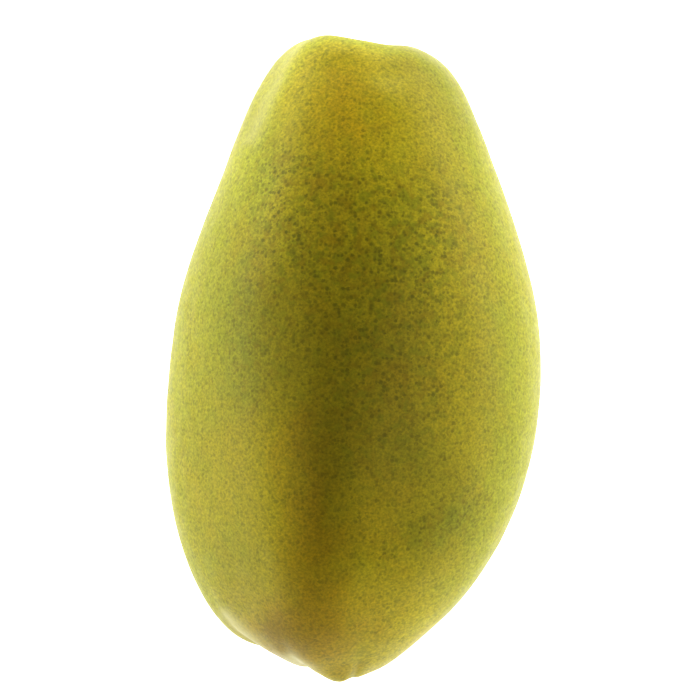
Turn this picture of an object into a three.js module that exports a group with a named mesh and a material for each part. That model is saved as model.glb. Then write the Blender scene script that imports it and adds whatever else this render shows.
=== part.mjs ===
// A ripening pear-shaped papaya, lying on its side on a small flat spot.
// Millimetres, +Z up. The stem end points along +Y and the blossom tip along -Y.
// The origin is in the middle of the fruit's footprint, on the surface it lies on.
import * as THREE from "three";

// Driving sizes
const LENGTH = 155; // stem shoulder to blossom tip
const WIDTH = 90.4; // across the belly
const HEIGHT = 86.6; // from the flat spot up to the belly's crown
const FLAT_DEPTH = 0.6; // how far the fruit settles into its flat spot
const SEGMENTS = 84; // faces round a section
const RINGS_PER_SPAN = 3; // sections between two stations

// The skin's sections from the stem to the blossom end, for a fruit of the sizes above.
// y is the section's place along the fruit. left, right, down and up are how far it
// reaches from the core line. lean is how far its crown leads towards the blossom end.
// lobing is how strongly the five ridges stand out.
const STATIONS = [
  // The broken end of the stalk, in the middle of the hollow
  { y: 74.1, left: -0.8, right: 3.2, down: -6.0, up: -2.0, lean: 0, lobing: 0 },
  { y: 74.6, left: -3.0, right: 5.6, down: -8.3, up: 0.3, lean: 0, lobing: 0 },
  { y: 74.0, left: -4.3, right: 6.9, down: -9.6, up: 1.6, lean: 0, lobing: 0.01 },
  { y: 72.8, left: -4.8, right: 7.4, down: -10.1, up: 2.1, lean: 0, lobing: 0.02 },
  // The stem hollow
  { y: 72.2, left: -6.2, right: 8.8, down: -11.3, up: 3.6, lean: 0, lobing: 0.06 },
  { y: 73.6, left: -8.9, right: 11.6, down: -13.6, up: 7.0, lean: 0, lobing: 0.1 },
  { y: 75.8, left: -10.0, right: 13.4, down: -15.6, up: 10.0, lean: 0, lobing: 0.11 },
  // The shoulder
  { y: 76.4, left: -12.2, right: 15.2, down: -17.8, up: 13.2, lean: 0, lobing: 0.09 },
  { y: 73.9, left: -16.2, right: 20.4, down: -20.4, up: 17.6, lean: 0, lobing: 0.07 },
  { y: 69.2, left: -20.4, right: 24.6, down: -23.1, up: 21.2, lean: 0, lobing: 0.05 },
  // The neck
  { y: 60.5, left: -25.4, right: 28.6, down: -27.0, up: 26.5, lean: 0, lobing: 0.04 },
  { y: 46.1, left: -30.9, right: 34.1, down: -32.6, up: 33.0, lean: 0, lobing: 0.04 },
  { y: 30.7, left: -36.8, right: 39.3, down: -37.6, up: 38.2, lean: 0, lobing: 0.04 },
  // The belly
  { y: 15.3, left: -41.6, right: 43.4, down: -41.8, up: 41.7, lean: 0, lobing: 0.05 },
  { y: 0.0, left: -43.9, right: 45.1, down: -43.3, up: 43.2, lean: 0, lobing: 0.07 },
  { y: -15.5, left: -45.0, right: 44.2, down: -42.3, up: 44.1, lean: 0, lobing: 0.09 },
  { y: -31.0, left: -44.3, right: 40.8, down: -39.8, up: 43.2, lean: 0.5, lobing: 0.11 },
  { y: -45.5, left: -41.2, right: 34.2, down: -34.0, up: 39.4, lean: 1.5, lobing: 0.13 },
  // The blossom end
  { y: -57.0, left: -36.5, right: 26.2, down: -27.8, up: 33.0, lean: 2.5, lobing: 0.15 },
  { y: -65.0, left: -30.2, right: 17.6, down: -21.8, up: 26.2, lean: 3.5, lobing: 0.15 },
  { y: -70.3, left: -21.0, right: 11.0, down: -16.2, up: 18.0, lean: 4.0, lobing: 0.14 },
  { y: -73.0, left: -11.0, right: 6.2, down: -11.2, up: 11.5, lean: 3.3, lobing: 0.1 },
  { y: -73.8, left: -8.2, right: 1.3, down: -7.0, up: 5.0, lean: 1.8, lobing: 0.05 },
  { y: -73.5, left: -5.5, right: -1.5, down: -4.0, up: 0.5, lean: 0.5, lobing: 0 },
];

// The five ridges, by the angle of each from the crown, turning towards +X. They twist a
// little on their way to the stem, and each ends in a low bump on the shoulder.
const RIDGES = [
  { angle: -14, height: 1.0, spread: 18, bump: 0.9 },
  { angle: 62, height: 0.45, spread: 28, bump: 0.3 },
  { angle: 140, height: 0.9, spread: 20, bump: 0.4 },
  { angle: 212, height: 0.9, spread: 20, bump: 0.9 },
  { angle: 268, height: 0.9, spread: 20, bump: -0.5 },
];
const TWIST = { start: -30, perMillimetre: 0.16 }; // degrees, turning towards -X

// The shoulder, which slopes down towards +X
const SHOULDER = { top: 76, reach: 9, slope: 0.08, fullLobing: 0.05 };

// Creases that gather the skin at the blossom end. Each runs straight out from the scar, as
// seen from the end, at an angle from the crown, and fades over its reach. It is shallow
// again close to the scar.
const SCAR = { x: -3.5, z: -1.8, pitDepth: 1.2, pitRadius: 3.4, creaseFree: 8 };
const CREASES = [
  { angle: -69, depth: 3.2, width: 1.5, reach: 20 },
  { angle: -28, depth: 1.6, width: 1.3, reach: 18 },
  { angle: 12, depth: 1.4, width: 1.3, reach: 16 },
  { angle: 99, depth: 1.5, width: 1.8, reach: 24 },
  { angle: 167, depth: 1.5, width: 1.8, reach: 24 },
  { angle: 240, depth: 1.5, width: 1.8, reach: 24 },
];
const CREASE_START = -40; // creases only form beyond this section
const CREASE_RUN_IN = 10; // and are fully formed this much further on

// Swellings at the blossom end, by their place as seen from the end
const SWELLINGS = [
  { x: -2.6, z: 12.5, height: 2.4, radius: 4 }, // the foremost point, a blunt nib on the crown side
  { x: -26.5, z: 3, height: 1.0, radius: 5 }, // the end of the lobe on the -X side
  { x: -13, z: 6.5, height: 0.9, radius: 2.6 }, // a small fold between that lobe and the nib
];
const LEAN_ANGLE = 10; // the side that leads most, as an angle from the crown

const radians = THREE.MathUtils.degToRad;
const bell = (distance, width) => Math.exp(-((distance / width) ** 2));

// One smooth curve through up to three of the values that the stations give.
function stationCurve(first, second, third) {
  const points = STATIONS.map((s) => new THREE.Vector3(s[first], s[second], s[third]));
  return new THREE.CatmullRomCurve3(points, false, "catmullrom", 0.5);
}

const sideways = stationCurve("left", "right", "y");
const upright = stationCurve("down", "up", "y");
const form = stationCurve("lean", "lobing", "y");

// Adds up one of the ridges' values at an angle round the fruit and a place along it.
function ridgesAt(angle, y, value) {
  const twist = TWIST.perMillimetre * Math.max(y - TWIST.start, 0);
  return RIDGES.reduce((sum, ridge) => {
    const turn = Math.cos(angle - radians(ridge.angle - twist)) - 1;
    return sum + ridge[value] * Math.exp(turn / radians(ridge.spread) ** 2);
  }, 0);
}

// Stretches a list of values so that it reaches exactly from low to high.
function fitTo(values, low, high) {
  const least = Math.min(...values);
  const most = Math.max(...values);
  return values.map((v) => THREE.MathUtils.mapLinear(v, least, most, low, high));
}

// How deep the creases and the scar's pit draw the skin in at a place on the blossom end.
function creaseDepth(point) {
  const x = point.x - SCAR.x;
  const z = point.z - SCAR.z;
  const away = Math.hypot(x, z);
  const cuts = CREASES.map((crease) => {
    const angle = radians(crease.angle);
    const along = x * Math.sin(angle) + z * Math.cos(angle);
    const beside = x * Math.cos(angle) - z * Math.sin(angle);
    const width = crease.width * (0.6 + away / crease.reach);
    return along > 0 ? crease.depth * bell(beside, width) * bell(along, crease.reach) : 0;
  });
  const pit = SCAR.pitDepth * bell(away, SCAR.pitRadius);
  return Math.max(...cuts) * Math.min(away / SCAR.creaseFree, 1) + pit;
}

// Tips the shoulder over and lets the ridges end on it.
function shapeShoulder(point, y, lobing, angle) {
  const share = bell(Math.max(SHOULDER.top - y, 0), SHOULDER.reach);
  const bump = ridgesAt(angle, y, "bump") * Math.min(lobing / SHOULDER.fullLobing, 1);
  point.y += (bump - SHOULDER.slope * point.x) * share;
}

// How far the swellings push the skin out at a place on the blossom end.
function swellingHeight(point) {
  return SWELLINGS.reduce((sum, { x, z, height, radius }) => {
    return sum + height * bell(Math.hypot(point.x - x, point.z - z), radius);
  }, 0);
}

// Pushes the swellings out and draws the creases in.
function shapeBlossomEnd(point, y, core) {
  if (y > CREASE_START) return;
  const start = THREE.MathUtils.smoothstep(CREASE_START - y, 0, CREASE_RUN_IN);
  const inwards = core.clone().sub(point).normalize();
  point.addScaledVector(inwards, (creaseDepth(point) - swellingHeight(point)) * start);
}

// The points of one section of the skin, at a share of the way from stem to tip.
function section(share) {
  const { x: left, y: right, z: y } = sideways.getPoint(share);
  const { x: down, y: up } = upright.getPoint(share);
  const { x: lean, y: lobing } = form.getPoint(share);
  const angles = Array.from({ length: SEGMENTS }, (_, i) => (i / SEGMENTS) * 2 * Math.PI);
  const reach = angles.map((angle) => 1 + lobing * ridgesAt(angle, y, "height"));
  const xs = fitTo(angles.map((angle, i) => reach[i] * Math.sin(angle)), left, right);
  const zs = fitTo(angles.map((angle, i) => reach[i] * Math.cos(angle)), down, up);
  const core = new THREE.Vector3((left + right) / 2, Math.max(y, CREASE_START), (down + up) / 2);
  return angles.map((angle, i) => {
    const point = new THREE.Vector3(xs[i], y, zs[i]);
    point.y -= lean * Math.cos(angle - radians(LEAN_ANGLE));
    shapeShoulder(point, y, lobing, angle);
    shapeBlossomEnd(point, y, core);
    return point;
  });
}

// Joins the sections into one closed skin, with a point at each end.
function skin() {
  const count = (STATIONS.length - 1) * RINGS_PER_SPAN + 1;
  const rings = Array.from({ length: count }, (_, i) => section(i / (count - 1)));
  const middle = (ring) =>
    ring.reduce((sum, p) => sum.add(p), new THREE.Vector3()).divideScalar(ring.length);
  const vertices = [...rings.flat(), middle(rings[0]), middle(rings[count - 1])];
  const faces = [];
  for (let i = 0; i < SEGMENTS; i++) {
    const next = (i + 1) % SEGMENTS;
    for (let ring = 0; ring < count - 1; ring++) {
      const here = ring * SEGMENTS;
      const beyond = here + SEGMENTS;
      faces.push(here + i, beyond + i, here + next, here + next, beyond + i, beyond + next);
    }
    const last = (count - 1) * SEGMENTS;
    faces.push(vertices.length - 2, i, next, vertices.length - 1, last + next, last + i);
  }
  return { vertices, faces };
}

// Sets the skin on the surface: pressed flat where it rests, and centred over the origin.
function settle(vertices) {
  const bounds = new THREE.Box3().setFromPoints(vertices);
  const middle = bounds.getCenter(new THREE.Vector3());
  const size = bounds.getSize(new THREE.Vector3());
  const floor = bounds.min.z + FLAT_DEPTH;
  const scale = new THREE.Vector3(WIDTH / size.x, LENGTH / size.y, HEIGHT / (size.z - FLAT_DEPTH));
  for (const v of vertices) {
    v.set(v.x - middle.x, v.y - middle.y, Math.max(v.z - floor, 0)).multiply(scale);
  }
}

function papaya() {
  const { vertices, faces } = skin();
  settle(vertices);
  const geometry = new THREE.BufferGeometry().setFromPoints(vertices);
  geometry.setIndex(faces);
  geometry.computeVertexNormals();
  const material = new THREE.MeshStandardMaterial({
    color: new THREE.Color(0.47, 0.42, 0.05),
    roughness: 0.42,
    metalness: 0,
  });
  const mesh = new THREE.Mesh(geometry, material);
  mesh.name = "papaya";
  return mesh;
}

const fruit = new THREE.Group();
fruit.add(papaya());

export default fruit;
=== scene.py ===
"""A ripening papaya: its speckled skin, dried stalk stub and blossom scar, on a pale stage.

Metres, +Z up. The stem end points along +Y and the blossom end along -Y.
"""

import math

import bmesh
import bpy
import numpy as np
from bpy.props import FloatProperty, FloatVectorProperty, PointerProperty
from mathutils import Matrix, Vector, noise


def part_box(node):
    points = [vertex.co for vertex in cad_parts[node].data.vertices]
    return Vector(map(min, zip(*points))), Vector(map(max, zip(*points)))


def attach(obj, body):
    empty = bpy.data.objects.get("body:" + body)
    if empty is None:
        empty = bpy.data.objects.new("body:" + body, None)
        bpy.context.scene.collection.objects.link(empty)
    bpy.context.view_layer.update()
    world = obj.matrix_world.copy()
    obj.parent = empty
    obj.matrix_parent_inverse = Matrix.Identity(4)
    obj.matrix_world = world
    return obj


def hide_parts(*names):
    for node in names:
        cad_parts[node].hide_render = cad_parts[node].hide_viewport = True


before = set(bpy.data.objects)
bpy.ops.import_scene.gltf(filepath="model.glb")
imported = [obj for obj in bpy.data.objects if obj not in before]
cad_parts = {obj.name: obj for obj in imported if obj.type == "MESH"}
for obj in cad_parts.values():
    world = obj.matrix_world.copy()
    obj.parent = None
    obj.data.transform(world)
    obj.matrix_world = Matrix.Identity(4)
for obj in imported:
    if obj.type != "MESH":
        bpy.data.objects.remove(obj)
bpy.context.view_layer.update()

bl_info = {
    "name": "Papaya",
    "version": (1, 0, 0),
    "blender": (4, 5, 0),
    "location": "3D View > Sidebar > Papaya",
    "description": "Builds a ripening papaya on a pale stage",
    "category": "Object",
}

MM = 0.001
LOW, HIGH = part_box("papaya")
MIDDLE = (LOW + HIGH) / 2

# The stage. Each lamp stands towards +X or -X and has a share of the lamp light. The walls give
# light from the floor up to a soft edge, given as the sine of its height, and more of it towards
# the stem end than towards the blossom end. The shade is the ellipse that the fruit dims.
LAMP_HEIGHT = math.radians(35)
LAMP_SPREAD = (0.75, 0.97)
LAMPS = ((1, 1.0), (-1, 0.6))
WALL_EDGE = (0.04, 0.2)
WALL_SHARES = (0.6, 1.8)
FLOOR_SIZE = 6.0
SHADE = (38 * MM, 66 * MM, 1)
SHADE_LIGHT = 0.25
CAMERA_OFFSET = (-0.8 * MM, 2.3 * MM)
SENSOR_WIDTH = 36
VIEW_GAMMA = 0.8

# The crown side, which the sun and the camera see: where it fades in above the middle height
CROWN = (-4 * MM, 10 * MM)

# How ripe the flanks are and how much riper the crown is, from below nought for green to
# above nought for orange, and how far the skin has to face up for that
FLANK_RIPENESS = -0.75
CROWN_RIPENING = 0.95
SUNNED = (0.4, 1.0)

# Sizes of the skin's gentle swells: the wide ones, and the small ones at half their strength
SWELL_SIZES = (17 * MM, 6 * MM)

# Grain in the skin. Clouds and patches of colour have a size, a stretch and a strength.
CLOUDS = (24 * MM, 1.8, 0.8)
PATCHES = (5 * MM, 1.5, 0.9)
NET_SIZE = 0.6 * MM
NET_TONE = (0.86, 1.24)
MOTTLE_SIZE = 2.2 * MM
BROWN_SIZE = 3.6 * MM
MOTTLE_STRENGTH = 0.6
GLOSS_SIZE = 3 * MM
WAX_AND_HIGHLIGHT_STRENGTH = 0.7

# Specks: spacing, smallest and largest radius in spacings, and how far they wander. Where the
# smallest is below nought, many places have none.
FINE_SPECKS = (0.95 * MM, 0.1, 0.6, 0.7 * MM)
BOLD_SPECKS = (1.8 * MM, -0.10, 0.28, 1.5 * MM)
SPECK_DEPTHS = (0.3, 0.78)
BASE_SPECKS = 0.5
ZONE_SPECKS_AND_SHADE = 0.7

# The ends of the fruit, as the frame's solid has them
SCAR = Vector((-3.5 * MM, LOW.y + 4.4 * MM, MIDDLE.z - 2.3 * MM))
STALK = Vector((1.3 * MM, HIGH.y - 3.1 * MM, MIDDLE.z - 4.5 * MM))

# Creases that gather the skin round the scar: angle in degrees from the crown towards +X, and
# reach. They deepen over a short way out of the scar, and fade between two distances from the
# blossom end.
CREASE_RISE = 6 * MM
CREASE_END = (34 * MM, 24 * MM)
CREASES = (
    (-69, 20 * MM),
    (-28, 18 * MM),
    (12, 16 * MM),
    (99, 24 * MM),
    (167, 24 * MM),
    (240, 24 * MM),
)

# Where the crown side has ripened more or less than the skin round about. Each zone is a soft
# stroke seen from above: its two ends in x and y and its breadth in millimetres, and its
# strength, which is above nought towards orange and below nought towards green.
RIPE_ZONES = (
    ((-3, 63), (-2, 55), 8, 0.45),
    ((35, 8), (36, -27), 7, -0.35),
    ((-9, 40), (-7, 28), 5, 0.2),
    ((12, -6), (12, -16), 6, 0.2),
    ((-12, -15), (-9, -40), 6, 0.36),
    ((-10, -46), (-9, -66), 8, 0.45),
    ((-22, -60), (14, -68), 10, 0.6),
    ((-22, -66), (0, -76), 6, 0.7),
    ((-20, 45), (-16, 29), 7, -0.4),
    ((-20, -64), (-15, -70), 5, 0.4),
    ((-26, 14), (-24, -6), 8, -0.5),
    ((16, -42), (24, -37), 4.5, -0.6),
    ((14, -20), (22, -26), 6, -0.4),
    ((14, 36), (16, 24), 6, -0.35),
    ((9, 40), (20, 20), 9, -0.15),
)

# Where the skin is deeper or paler than elsewhere, in the same way: above nought is paler. The
# deeper strokes down the middle of the crown are partly the skin's tone and partly painted shade.
PALE_AND_SHADED_ZONES = (
    ((-12, 66), (8, 48), 16, 0.2),
    ((18, 30), (24, -20), 7, 0.1),
    ((-18, -14), (-16, -42), 6, 0.12),
    # The next two strokes darken the middle of the crown: partly the skin's deeper tone, partly
    # painted shade
    ((3, 36), (2, -12), 18, -0.12),
    ((-6, 6), (-6, -62), 6, -0.07),
    ((-22, 14), (-22, -8), 8, -0.14),
    ((15, -42), (23, -37), 5, -0.16),
    ((14, -20), (22, -26), 6, -0.1),
    ((2, -34), (10, -46), 5, 0.1),
    ((0, -58), (14, -60), 8, 0.14),
    ((18, 73), (26, 58), 7, -0.16),
    ((-27, 46), (-20, 38), 6, 0.12),
    ((-26, -46), (-27, -58), 6, -0.1),
    ((-19, -65), (-16, -69), 5, -0.34),
    ((20, 46), (22, 40), 6, -0.08),
    ((-4, 73), (3, 71), 5, 0.12),
)

# A shallow, paler furrow between two ridges at the stem end, with a depth in millimetres instead
# of a strength. The paleness along it is a painted highlight.
FURROW_HIGHLIGHT = 0.6
FURROWS = (((-16.5, 74.5), (-24.8, 54), 2.6, 0.75),)

# Shallow dents of the skin at the stem end and on the nib, with their depth in millimetres
DENTS = (
    ((8.5, 77), (9, 68), 4.5, 0.5),
    ((-2.9, -77), (-2.6, -79), 2.2, 0.6),
)

# Painted highlights in the pale wax colour on the folds at the blossom end, on what faces up
HIGHLIGHT_SLOPE = (-0.05, 0.3)
CREASE_WAX_AND_HIGHLIGHT = (0.12, 0.55)
HIGHLIGHT_ZONES = (
    ((-30.5, -61), (-24, -67.5), 2.0, 0.9),
    ((-14.8, -71.2), (-11.2, -73.6), 2.0, 1.1),
)

# Where the crown side has more and darker specks, as strokes too. The wide strokes over the middle
# of the crown are partly painted shade.
SPECK_AND_SHADE_ZONES = (
    ((-6, 36), (14, 30), 15, 0.5),
    ((4, 20), (8, -8), 18, 0.5),
    ((-18, 44), (-17, 26), 7, 0.35),
    ((-22, 14), (-22, -4), 8, 0.3),
    ((8, -45), (27, -34), 5, 0.3),
)

# The stalk stub's and the blossom scar's outlines: radius and height over the skin, in
# millimetres
STUB_SEGMENTS = 72
STUB_PROFILE = (
    (6.1, -1.9),
    (6.0, -0.7),
    (5.7, 0.4),
    (5.2, 1.1),
    (4.6, 1.45),
    (4.0, 1.2),
    (3.3, 0.7),
    (2.3, 0.75),
    (1.3, 0.5),
    (0.4, 0.3),
)
SCAR_SEGMENTS = 32
SCAR_PROFILE = ((0.4, 0.2), (1.5, -0.1), (2.1, 0.3), (2.2, 0.9), (1.8, 1.8))


class PapayaShape(bpy.types.PropertyGroup):
    unevenness: FloatProperty(
        name="Unevenness",
        description="How far the grown skin swells and sinks from its smooth form",
        default=0.16 * MM,
        unit="LENGTH",
        precision=5,
    )
    crease_depth: FloatProperty(
        name="Crease depth",
        description="How much deeper the creases at the blossom end are than the solid's",
        default=0.9 * MM,
        unit="LENGTH",
        precision=5,
    )
    crease_width: FloatProperty(
        name="Crease width",
        description="Half the width of a crease close to the scar",
        default=0.9 * MM,
        unit="LENGTH",
        precision=5,
    )


class PapayaColours(bpy.types.PropertyGroup):
    yellow: FloatVectorProperty(
        name="Yellow",
        description="The skin where it is turning",
        default=(0.525, 0.449, 0.016),
        subtype="COLOR",
    )
    orange: FloatVectorProperty(
        name="Orange",
        description="The skin where it is ripest",
        default=(0.53, 0.360, 0.012),
        subtype="COLOR",
    )
    green: FloatVectorProperty(
        name="Green",
        description="The skin where it is least ripe",
        default=(0.46, 0.462, 0.020),
        subtype="COLOR",
    )
    speck: FloatVectorProperty(
        name="Specks",
        description="The dark olive specks all over the skin",
        default=(0.17, 0.165, 0.008),
        subtype="COLOR",
    )
    mottle: FloatVectorProperty(
        name="Mottling",
        description="The soft olive mottling under the specks",
        default=(0.29, 0.30, 0.012),
        subtype="COLOR",
    )
    brown: FloatVectorProperty(
        name="Brown mottling",
        description="The same mottling where the skin has turned further",
        default=(0.37, 0.265, 0.008),
        subtype="COLOR",
    )
    # The wax colour is used both for waxy skin in the creases and for painted highlights on the
    # folds and the furrow
    wax_and_highlight_colour: FloatVectorProperty(
        name="Wax",
        description="The paler, waxy skin in folds",
        default=(0.64, 0.60, 0.26),
        subtype="COLOR",
    )
    stalk: FloatVectorProperty(
        name="Stalk",
        description="The dried stalk stub",
        default=(0.13, 0.082, 0.035),
        subtype="COLOR",
    )
    scar: FloatVectorProperty(
        name="Scar",
        description="The dried blossom scar",
        default=(0.05, 0.032, 0.018),
        subtype="COLOR",
    )
    roughness: FloatProperty(
        name="Roughness",
        description="How matt the waxy skin is",
        default=0.42,
        min=0,
        max=1,
        subtype="FACTOR",
    )


class PapayaStage(bpy.types.PropertyGroup):
    floor_glow: FloatProperty(
        name="Floor glow",
        description="Light that the pale floor gives off round the fruit, like a light table",
        default=1.5,
        min=0,
    )
    wall_light: FloatProperty(
        name="Wall light",
        description="Light from low down on the tent's walls",
        default=4.2,
        min=0,
    )
    lamp_light: FloatProperty(
        name="Lamp light",
        description="Light from the soft lamp on the +X side. The one on the other side gives less",
        default=1.0,
        min=0,
    )
    top_light: FloatProperty(
        name="Top light",
        description="Light from the tent's open top",
        default=0.085,
        min=0,
    )
    camera_lens: FloatProperty(
        name="Lens",
        description="Focal length of the camera",
        default=250,
        unit="CAMERA",
    )
    view_width: FloatProperty(
        name="View width",
        description="Width of what the camera sees, at the fruit's middle height",
        default=168.5 * MM,
        unit="LENGTH",
    )


def bell(distance, width):
    return np.exp(-((distance / width) ** 2))


def smooth_step(value, low, high):
    share = np.clip((value - low) / (high - low), 0, 1)
    return share * share * (3 - 2 * share)


def vertex_array(mesh, name):
    values = np.empty(len(mesh.vertices) * 3)
    mesh.vertices.foreach_get(name, values)
    return values.reshape(-1, 3)


def normals_of(mesh):
    values = np.empty(len(mesh.vertices) * 3, np.float32)
    mesh.vertex_normals.foreach_get("vector", values)
    return values.reshape(-1, 3).astype(float)


def set_vertices(mesh, points):
    mesh.vertices.foreach_set("co", points.astype(np.float32).ravel())
    mesh.update()


def add_mask(mesh, name, values):
    """Keeps one number at each vertex, for the material to read."""
    mask = mesh.attributes.new(name, "FLOAT", "POINT")
    mask.data.foreach_set("value", values.astype(np.float32))


def refined_solid(node_name, levels):
    """The frame's solid as a new smooth mesh: its triangles paired, and each face split."""
    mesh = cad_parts[node_name].data.copy()
    form = bmesh.new()
    form.from_mesh(mesh)
    bmesh.ops.remove_doubles(form, verts=form.verts, dist=1e-6)
    bmesh.ops.join_triangles(
        form,
        faces=form.faces,
        angle_face_threshold=math.radians(60),
        angle_shape_threshold=math.radians(70),
    )
    form.to_mesh(mesh)
    form.free()
    draft = bpy.data.objects.new("draft", mesh)
    bpy.context.collection.objects.link(draft)
    smoothing = draft.modifiers.new("smooth", "SUBSURF")
    smoothing.levels = smoothing.render_levels = levels
    finished = draft.evaluated_get(bpy.context.evaluated_depsgraph_get())
    result = bpy.data.meshes.new_from_object(finished)
    bpy.data.objects.remove(draft)
    bpy.data.meshes.remove(mesh)
    for polygon in result.polygons:
        polygon.use_smooth = True
    return result


def crease_mask(points, width):
    """How strongly each point lies in a crease that runs out from the scar, from 0 to 1."""
    x = points[:, 0] - SCAR.x
    z = points[:, 2] - SCAR.z
    away = np.hypot(x, z)
    near_end = smooth_step(-points[:, 1], -LOW.y - CREASE_END[0], -LOW.y - CREASE_END[1])
    deepest = np.zeros(len(points))
    for degrees, reach in CREASES:
        angle = math.radians(degrees)
        along = x * math.sin(angle) + z * math.cos(angle)
        beside = np.abs(x * math.cos(angle) - z * math.sin(angle))
        strength = bell(beside, width * (0.6 + away / reach)) * bell(along, reach) * (along > 0)
        deepest = np.maximum(deepest, strength)
    return deepest * near_end * np.clip(away / CREASE_RISE, 0, 1)


def unevenness(points):
    """Gentle swells of the grown skin, from about -1 to 1, and none where the fruit rests."""
    wide, small = SWELL_SIZES
    swell = []
    for point in points:
        place = Vector(point)
        swell.append(noise.noise(place / wide) + 0.5 * noise.noise(place / small))
    return np.array(swell) * smooth_step(points[:, 2], LOW.z + 0.5 * MM, LOW.z + 5 * MM)


def zone_field(points, zones):
    """Adds up soft strokes on the crown side: at each point, how strong they are together."""
    crown = smooth_step(points[:, 2], MIDDLE.z + CROWN[0], MIDDLE.z + CROWN[1])
    field = np.zeros(len(points))
    for start, end, breadth, strength in zones:
        a, b = np.array(start) * MM, np.array(end) * MM
        share = np.clip((points[:, :2] - a) @ (b - a) / ((b - a) @ (b - a)), 0, 1)
        gap = np.linalg.norm(points[:, :2] - a - share[:, None] * (b - a), axis=1)
        field += strength * bell(gap, breadth * MM)
    return field * crown


def ripeness(points, outwards):
    """How far the skin has turned: the side that faced the sun leads, and the flanks lag."""
    sunned = smooth_step(outwards[:, 2], *SUNNED)
    return FLANK_RIPENESS + CROWN_RIPENING * sunned + zone_field(points, RIPE_ZONES)


def torn_outline(angle, radius, height):
    """The stub's radius and height at an angle: bulges and strands round it, and a torn end."""
    round_about = Vector((math.cos(angle), math.sin(angle), 0))
    strands = 0.025 * math.sin(17 * angle + 2 * noise.noise(2 * round_about))
    bulge = 0.08 * noise.noise(1.6 * round_about + Vector((0, 0, 0.3 * height)))
    torn = 0.5 * noise.noise(3 * round_about + Vector((0, 0, radius)))
    return radius * (1 + bulge + strands), height + torn


def lobed_outline(angle, radius, height):
    """The scar's radius and height at an angle, with five low lobes."""
    return radius * (1 + 0.12 * math.cos(5 * angle)), height


def ring_mesh(name, centre, profile, segments, outline):
    """A closed skin over rings round the Y axis, capped at both ends."""
    points = []
    for mean_radius, mean_height in profile:
        for i in range(segments):
            angle = 2 * math.pi * i / segments
            radius, height = outline(angle, mean_radius, mean_height)
            x = radius * math.sin(angle) * MM
            z = radius * math.cos(angle) * MM
            points.append(centre + Vector((x, height * MM, z)))
    faces = [tuple(reversed(range(segments)))]
    for i in range(len(profile) - 1):
        here = i * segments
        above = here + segments
        for j in range(segments):
            k = (j + 1) % segments
            faces.append((here + j, here + k, above + k, above + j))
    faces.append(tuple(range((len(profile) - 1) * segments, len(profile) * segments)))
    mesh = bpy.data.meshes.new(name)
    mesh.from_pydata(points, [], faces)
    for polygon in mesh.polygons:
        polygon.use_smooth = True
    return mesh


def new_piece(name, mesh, material, node=None):
    """Puts a finished mesh in the scene, riding with the fruit."""
    piece = bpy.data.objects.new(name, mesh)
    bpy.context.collection.objects.link(piece)
    mesh.materials.clear()
    mesh.materials.append(material)
    if node:
        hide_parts(node)
    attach(piece, "root")


def add_node(tree, kind, inputs=None, **settings):
    """A new node with its settings, and its inputs linked or set."""
    made = tree.nodes.new(kind)
    for name, value in settings.items():
        setattr(made, name, value)
    for key, value in (inputs or {}).items():
        if isinstance(value, bpy.types.NodeSocket):
            tree.links.new(value, made.inputs[key])
        else:
            made.inputs[key].default_value = value
    return made


def calculate(tree, operation, first, second):
    return add_node(tree, "ShaderNodeMath", {0: first, 1: second}, operation=operation).outputs[0]


def between(tree, value, low, high, start=0.0, end=1.0):
    """start where the value is low, end where it is high, and a smooth change between."""
    inputs = {"Value": value, "From Min": low, "From Max": high, "To Min": start, "To Max": end}
    made = add_node(tree, "ShaderNodeMapRange", inputs, interpolation_type="SMOOTHSTEP")
    return made.outputs["Result"]


def blend_colours(tree, share, first, second, kind="MIX"):
    made = add_node(tree, "ShaderNodeMix", {0: share}, data_type="RGBA", blend_type=kind)
    for index, value in ((6, first), (7, second)):
        if isinstance(value, bpy.types.NodeSocket):
            tree.links.new(value, made.inputs[index])
        else:
            made.inputs[index].default_value = (*value[:3], 1)
    return made.outputs[2]


def object_place(tree):
    return add_node(tree, "ShaderNodeTexCoord").outputs["Object"]


def grain_group():
    """Shared by all three finishes: an uneven grain of a given size."""
    name = "Grown grain"
    if name in bpy.data.node_groups:
        return bpy.data.node_groups[name]
    group = bpy.data.node_groups.new(name, "ShaderNodeTree")
    group.interface.new_socket("Size", in_out="INPUT", socket_type="NodeSocketFloat")
    group.interface.new_socket("Stretch", in_out="INPUT", socket_type="NodeSocketFloat")
    group.interface.new_socket("Grain", in_out="OUTPUT", socket_type="NodeSocketFloat")
    start = group.nodes.new("NodeGroupInput")
    end = group.nodes.new("NodeGroupOutput")
    along = calculate(group, "DIVIDE", 1.0, start.outputs["Stretch"])
    squeeze = add_node(group, "ShaderNodeCombineXYZ", {"X": 1.0, "Y": along, "Z": 1.0}).outputs[0]
    inputs = {0: object_place(group), 1: squeeze}
    place = add_node(group, "ShaderNodeVectorMath", inputs, operation="MULTIPLY")
    scale = calculate(group, "DIVIDE", 1.0, start.outputs["Size"])
    inputs = {"Vector": place.outputs[0], "Scale": scale, "Detail": 3.0, "Roughness": 0.6}
    texture = add_node(group, "ShaderNodeTexNoise", inputs)
    group.links.new(texture.outputs["Fac"], end.inputs["Grain"])
    return group


def grain(tree, size, stretch=1.0):
    made = add_node(tree, "ShaderNodeGroup", node_tree=grain_group())
    made.inputs["Size"].default_value = size
    made.inputs["Stretch"].default_value = stretch
    return made.outputs["Grain"]


def new_material(name):
    """An empty material, with its shader and its tree."""
    material = bpy.data.materials.new(name)
    material.use_nodes = True
    tree = material.node_tree
    return material, tree, tree.nodes["Principled BSDF"]


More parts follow.
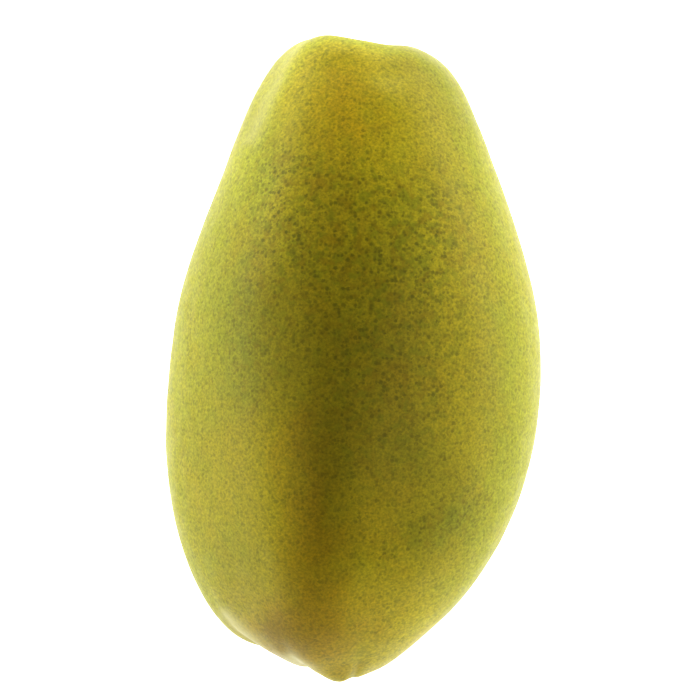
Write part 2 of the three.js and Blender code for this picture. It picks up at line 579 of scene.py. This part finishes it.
def specks(tree, spacing, smallest, largest, wander):
    """A mask of small soft spots of uneven size and depth, each out of round."""
    place = object_place(tree)
    inputs = {"Vector": place, "Scale": 2.4 / spacing, "Detail": 2.0}
    drift = add_node(tree, "ShaderNodeTexNoise", inputs)
    inputs = {0: drift.outputs["Color"], 1: (wander, wander, wander), 2: place}
    moved = add_node(tree, "ShaderNodeVectorMath", inputs, operation="MULTIPLY_ADD")
    inputs = {"Vector": moved.outputs[0], "Scale": 1 / spacing}
    cells = add_node(tree, "ShaderNodeTexVoronoi", inputs)
    chances = add_node(tree, "ShaderNodeSeparateColor", {"Color": cells.outputs["Color"]}).outputs
    radius = between(tree, chances[0], 0.0, 1.0, smallest, largest)
    edge = calculate(tree, "SUBTRACT", cells.outputs["Distance"], radius)
    depth = between(tree, chances[1], 0.0, 1.0, *SPECK_DEPTHS)
    return calculate(tree, "MULTIPLY", between(tree, edge, -0.28, 0.24, 1.0, 0.0), depth)


def skin_material(colours):
    material, tree, shader = new_material("Papaya skin")
    ripe, speckled_and_shaded, paleness_and_shade, creased_and_highlit = (
        add_node(tree, "ShaderNodeAttribute", attribute_name=name).outputs["Fac"]
        for name in ("ripeness", "speckled_and_shaded", "paleness_and_shade", "creased_and_highlit")
    )

    # Turning colour, with cloudy patches over the zones
    for size, stretch, strength in (CLOUDS, PATCHES):
        change = calculate(tree, "SUBTRACT", grain(tree, size, stretch), 0.5)
        ripe = calculate(tree, "ADD", ripe, calculate(tree, "MULTIPLY", change, strength))
    colour = blend_colours(tree, between(tree, ripe, -0.2, 1.1), colours.yellow, colours.orange)
    colour = blend_colours(tree, between(tree, ripe, -0.1, -1.0), colour, colours.green)

    # Deeper and paler skin, with painted shade in part on the middle of the crown, and a fine pale
    # grain
    fine_grain = grain(tree, NET_SIZE)
    net = between(tree, fine_grain, 0.3, 0.7, *NET_TONE)
    tone = calculate(tree, "MULTIPLY", net, paleness_and_shade)
    colour = blend_colours(tree, 1.0, colour, tone, "MULTIPLY")

    # Olive and brown mottling where there are many specks, and the specks themselves; denser over
    # the middle of the crown, partly as painted shade
    mottle = between(tree, grain(tree, MOTTLE_SIZE), 0.4, 0.62)
    many = between(tree, speckled_and_shaded, 0.3, 1.0, 0.0, MOTTLE_STRENGTH)
    mottle = calculate(tree, "MULTIPLY", mottle, many)
    brown = between(tree, grain(tree, BROWN_SIZE), 0.42, 0.58)
    olive = blend_colours(tree, brown, colours.mottle, colours.brown)
    colour = blend_colours(tree, mottle, colour, olive)
    spots = calculate(tree, "MAXIMUM", specks(tree, *FINE_SPECKS), specks(tree, *BOLD_SPECKS))
    dark = calculate(tree, "MULTIPLY", spots, speckled_and_shaded)
    colour = blend_colours(tree, dark, colour, colours.speck)

    # Pale skin in the creases, partly waxy skin and partly painted highlight, and painted
    # highlights in the same colour on the folds and along the furrow
    waxy = calculate(tree, "MULTIPLY", creased_and_highlit, WAX_AND_HIGHLIGHT_STRENGTH)
    colour = blend_colours(tree, waxy, colour, colours.wax_and_highlight_colour)

    # A low relief of grain and sunken specks, and an uneven gloss
    relief = calculate(tree, "SUBTRACT", fine_grain, calculate(tree, "MULTIPLY", spots, 0.35))
    inputs = {"Height": relief, "Strength": 0.25, "Distance": 0.06 * MM}
    bump = add_node(tree, "ShaderNodeBump", inputs)
    smooth, rough = colours.roughness - 0.05, colours.roughness + 0.06
    gloss = between(tree, grain(tree, GLOSS_SIZE), 0.3, 0.7, smooth, rough)
    tree.links.new(colour, shader.inputs["Base Color"])
    tree.links.new(gloss, shader.inputs["Roughness"])
    tree.links.new(bump.outputs["Normal"], shader.inputs["Normal"])
    shader.inputs["Specular IOR Level"].default_value = 0.3
    shader.inputs["Sheen Weight"].default_value = 0.25
    shader.inputs["Sheen Roughness"].default_value = 0.2
    return material


def dried_material(name, colour, size):
    """Dry, woody plant tissue with a rough grain."""
    material, tree, shader = new_material(name)
    wood = grain(tree, size, 3.0)
    dark = tuple(c * 0.45 for c in colour)
    pale = tuple(min(c * 1.9, 1) for c in colour)
    tint = blend_colours(tree, between(tree, wood, 0.3, 0.7), dark, pale)
    tree.links.new(tint, shader.inputs["Base Color"])
    inputs = {"Height": wood, "Strength": 0.8, "Distance": 0.25 * MM}
    bump = add_node(tree, "ShaderNodeBump", inputs)
    tree.links.new(bump.outputs["Normal"], shader.inputs["Normal"])
    shader.inputs["Roughness"].default_value = 0.8
    return material


class PAPAYA_OT_skin(bpy.types.Operator):
    """Builds the fruit's skin over the frame's solid"""

    bl_idname = "papaya.skin"
    bl_label = "Skin"

    def execute(self, context):
        shape = context.scene.papaya_shape
        mesh = refined_solid("papaya", 2)
        points = vertex_array(mesh, "co")
        creases = crease_mask(points, shape.crease_width)
        outwards = normals_of(mesh)
        change = shape.unevenness * unevenness(points) - shape.crease_depth * creases
        furrow = zone_field(points, FURROWS)
        change -= (furrow + zone_field(points, DENTS)) * MM
        # More specks in the zones; over the middle of the crown this is partly painted shade
        many = BASE_SPECKS + zone_field(points, SPECK_AND_SHADE_ZONES) * ZONE_SPECKS_AND_SHADE
        facing_up = smooth_step(outwards[:, 2], *HIGHLIGHT_SLOPE)
        # Pale wax in the creases, partly painted highlight, and painted highlights along the furrow
        # and on the upward folds
        waxy = smooth_step(creases, *CREASE_WAX_AND_HIGHLIGHT) + FURROW_HIGHLIGHT * furrow
        waxy += facing_up * zone_field(points, HIGHLIGHT_ZONES)
        set_vertices(mesh, points + outwards * change[:, None])
        add_mask(mesh, "ripeness", ripeness(points, outwards))
        add_mask(mesh, "speckled_and_shaded", np.clip(many, 0, 1))
        add_mask(mesh, "paleness_and_shade", 1 + zone_field(points, PALE_AND_SHADED_ZONES))
        add_mask(mesh, "creased_and_highlit", np.clip(waxy, 0, 1))
        new_piece("papaya_skin", mesh, skin_material(context.scene.papaya_colours), "papaya")
        return {"FINISHED"}


class PAPAYA_OT_stalk(bpy.types.Operator):
    """Builds the dried stub of the stalk in the stem hollow"""

    bl_idname = "papaya.stalk"
    bl_label = "Stalk stub"

    def execute(self, context):
        mesh = ring_mesh("stalk_stub", STALK, STUB_PROFILE, STUB_SEGMENTS, torn_outline)
        colours = context.scene.papaya_colours
        new_piece("stalk_stub", mesh, dried_material("Dried stalk", colours.stalk, 0.8 * MM))
        return {"FINISHED"}


class PAPAYA_OT_scar(bpy.types.Operator):
    """Builds the small dried scar that the blossom left"""

    bl_idname = "papaya.scar"
    bl_label = "Blossom scar"

    def execute(self, context):
        mesh = ring_mesh("blossom_scar", SCAR, SCAR_PROFILE, SCAR_SEGMENTS, lobed_outline)
        colours = context.scene.papaya_colours
        new_piece("blossom_scar", mesh, dried_material("Blossom scar", colours.scar, 0.5 * MM))
        return {"FINISHED"}


def floor_material(glow):
    """A pale light table, dim where the fruit shades it."""
    material, tree, shader = new_material("Pale floor")
    inputs = {0: object_place(tree), 1: SHADE}
    squeeze = add_node(tree, "ShaderNodeVectorMath", inputs, operation="DIVIDE")
    away = add_node(tree, "ShaderNodeVectorMath", {0: squeeze.outputs[0]}, operation="LENGTH")
    light = between(tree, away.outputs["Value"], 0.35, 1.0, SHADE_LIGHT, 1.0)
    glowing = blend_colours(tree, light, (0, 0, 0), (1, 1, 1))
    tree.links.new(glowing, shader.inputs["Emission Color"])
    shader.inputs["Emission Strength"].default_value = glow
    shader.inputs["Base Color"].default_value = (0.8, 0.8, 0.8, 1)
    shader.inputs["Roughness"].default_value = 0.9
    return material


def tent_light(stage):
    """Soft light from low on the walls all round and from two lamps, with little from above."""
    world = bpy.data.worlds.new("Light tent")
    world.use_nodes = True
    tree = world.node_tree
    place = add_node(tree, "ShaderNodeTexCoord").outputs["Generated"]
    direction = add_node(tree, "ShaderNodeSeparateXYZ", {0: place}).outputs
    walls = between(tree, direction["Z"], *WALL_EDGE, stage.wall_light, 0.0)
    towards_stem = between(tree, direction["Y"], -1.0, 1.0, *WALL_SHARES)
    strength = calculate(tree, "MULTIPLY", walls, towards_stem)
    for side, share in LAMPS:
        aim = (side * math.cos(LAMP_HEIGHT), 0, math.sin(LAMP_HEIGHT))
        inputs = {0: place, 1: aim}
        nearness = add_node(tree, "ShaderNodeVectorMath", inputs, operation="DOT_PRODUCT")
        brightness = share * stage.lamp_light
        lamp = between(tree, nearness.outputs["Value"], *LAMP_SPREAD, 0.0, brightness)
        strength = calculate(tree, "ADD", strength, lamp)
    strength = calculate(tree, "ADD", strength, stage.top_light)
    tree.links.new(strength, tree.nodes["Background"].inputs["Strength"])
    tree.nodes["Background"].inputs["Color"].default_value = (1, 1, 1, 1)
    bpy.context.scene.world = world


class PAPAYA_OT_stage(bpy.types.Operator):
    """Sets out the pale floor, the soft light and the camera"""

    bl_idname = "papaya.stage"
    bl_label = "Stage"

    def execute(self, context):
        stage = context.scene.papaya_stage
        half = FLOOR_SIZE / 2
        mesh = bpy.data.meshes.new("floor")
        corners = [(-half, -half, 0), (half, -half, 0), (half, half, 0), (-half, half, 0)]
        mesh.from_pydata(corners, [], [(0, 1, 2, 3)])
        mesh.materials.append(floor_material(stage.floor_glow))
        floor = bpy.data.objects.new("floor", mesh)
        context.collection.objects.link(floor)
        tent_light(stage)

        lens = bpy.data.cameras.new("camera")
        lens.lens = stage.camera_lens
        lens.sensor_width = SENSOR_WIDTH
        camera = bpy.data.objects.new("camera", lens)
        context.collection.objects.link(camera)
        distance = stage.view_width * lens.lens / lens.sensor_width
        camera.location = (*CAMERA_OFFSET, MIDDLE.z + distance)
        context.scene.camera = camera
        context.scene.view_settings.view_transform = "Standard"
        context.scene.view_settings.gamma = VIEW_GAMMA
        return {"FINISHED"}


class PAPAYA_PT_panel(bpy.types.Panel):
    bl_label = "Papaya"
    bl_space_type = "VIEW_3D"
    bl_region_type = "UI"
    bl_category = "Papaya"

    def draw(self, context):
        layout = self.layout
        for settings in (
            context.scene.papaya_shape,
            context.scene.papaya_colours,
            context.scene.papaya_stage,
        ):
            column = layout.column()
            for name in settings.bl_rna.properties.keys():
                if name not in ("rna_type", "name"):
                    column.prop(settings, name)
        for operator in OPERATORS:
            layout.operator(operator.bl_idname)


SETTINGS = (PapayaShape, PapayaColours, PapayaStage)
OPERATORS = (PAPAYA_OT_skin, PAPAYA_OT_stalk, PAPAYA_OT_scar, PAPAYA_OT_stage)


def register():
    for each in (*SETTINGS, *OPERATORS, PAPAYA_PT_panel):
        bpy.utils.register_class(each)
    bpy.types.Scene.papaya_shape = PointerProperty(type=PapayaShape)
    bpy.types.Scene.papaya_colours = PointerProperty(type=PapayaColours)
    bpy.types.Scene.papaya_stage = PointerProperty(type=PapayaStage)


def unregister():
    del bpy.types.Scene.papaya_stage
    del bpy.types.Scene.papaya_colours
    del bpy.types.Scene.papaya_shape
    for each in reversed((*SETTINGS, *OPERATORS, PAPAYA_PT_panel)):
        bpy.utils.unregister_class(each)


def main():
    register()
    bpy.ops.papaya.stage()
    bpy.ops.papaya.skin()
    bpy.ops.papaya.stalk()
    bpy.ops.papaya.scar()


if __name__ == "__main__":
    main()
